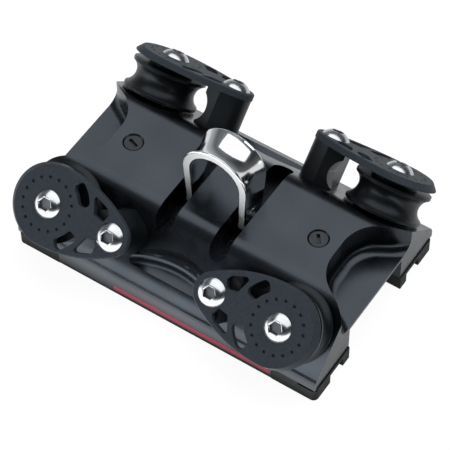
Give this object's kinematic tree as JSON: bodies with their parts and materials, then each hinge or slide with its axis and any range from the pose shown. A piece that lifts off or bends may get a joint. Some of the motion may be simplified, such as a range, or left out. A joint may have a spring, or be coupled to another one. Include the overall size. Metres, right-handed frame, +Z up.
{
  "type": "traveller car",
  "caption": "Ball-bearing car for a wide mainsheet track, with four control-line sheaves on sloping flanks under cheek covers and a swinging bail.",
  "frame": {"origin": "centre of the bottom of the car", "axes": "+X along the track, +Z up, -Y the near side"},
  "size_m": [0.1822, 0.145, 0.0827],
  "materials": {
    "anodised_body": "satin black anodised",
    "moulded_cover": "fine moulded grain",
    "black_post": "satin",
    "black_sheave": "satin",
    "steel_hub": "turned",
    "black_cap": "satin",
    "polished_steel": "polished stainless",
    "black_screw": "blackened",
    "plastic_balls": "smooth"
  },
  "bodies": {
    "car": {"main_body": "anodised_body", "cheek_cover_near_left": "moulded_cover", "spacer_post_near_left": "black_post", "sheave_hub_near_left": "steel_hub", "seat_disc_near_left": "black_post", "return_cap_near_left": "black_cap", "cheek_cover_near_right": "moulded_cover", "spacer_post_near_right": "black_post", "sheave_hub_near_right": "steel_hub", "seat_disc_near_right": "black_post", "return_cap_near_right": "black_cap", "cheek_cover_far_left": "moulded_cover", "spacer_post_far_left": "black_post", "sheave_hub_far_left": "steel_hub", "seat_disc_far_left": "black_post", "return_cap_far_left": "black_cap", "cheek_cover_far_right": "moulded_cover", "spacer_post_far_right": "black_post", "sheave_hub_far_right": "steel_hub", "seat_disc_far_right": "black_post", "return_cap_far_right": "black_cap", "axle_screws": "polished_steel", "post_screws": "polished_steel", "bail_pin": "polished_steel", "pin_lock_screws": "black_screw", "race_strip_near": "black_cap", "race_strip_far": "black_cap", "bearing_balls_near": "plastic_balls", "bearing_balls_far": "plastic_balls", "cap_screws": "polished_steel", "strip_screws": "polished_steel"},
    "sheave_near_left_wheel": {"sheave_near_left": "black_sheave"},
    "sheave_near_right_wheel": {"sheave_near_right": "black_sheave"},
    "sheave_far_left_wheel": {"sheave_far_left": "black_sheave"},
    "sheave_far_right_wheel": {"sheave_far_right": "black_sheave"},
    "bail_strap": {"bail": "polished_steel"}
  },
  "joints": [
    {"name": "sheave_near_left_spin", "type": "hinge", "parent": "car", "child": "sheave_near_left_wheel", "pos_m": [-0.0685, -0.04081, 0.03189], "axis": [0, -0.7071, 0.7071], "continuous": true},
    {"name": "sheave_near_right_spin", "type": "hinge", "parent": "car", "child": "sheave_near_right_wheel", "pos_m": [0.0685, -0.04081, 0.03189], "axis": [0, -0.7071, 0.7071], "continuous": true},
    {"name": "sheave_far_left_spin", "type": "hinge", "parent": "car", "child": "sheave_far_left_wheel", "pos_m": [-0.0685, 0.04081, 0.03189], "axis": [0, 0.7071, 0.7071], "continuous": true},
    {"name": "sheave_far_right_spin", "type": "hinge", "parent": "car", "child": "sheave_far_right_wheel", "pos_m": [0.0685, 0.04081, 0.03189], "axis": [0, 0.7071, 0.7071], "continuous": true},
    {"name": "bail_swing", "type": "hinge", "parent": "car", "child": "bail_strap", "pos_m": [0, 0, 0.0355], "axis": [1, 0, 0], "range_deg": [-60, 60]}
  ]
}
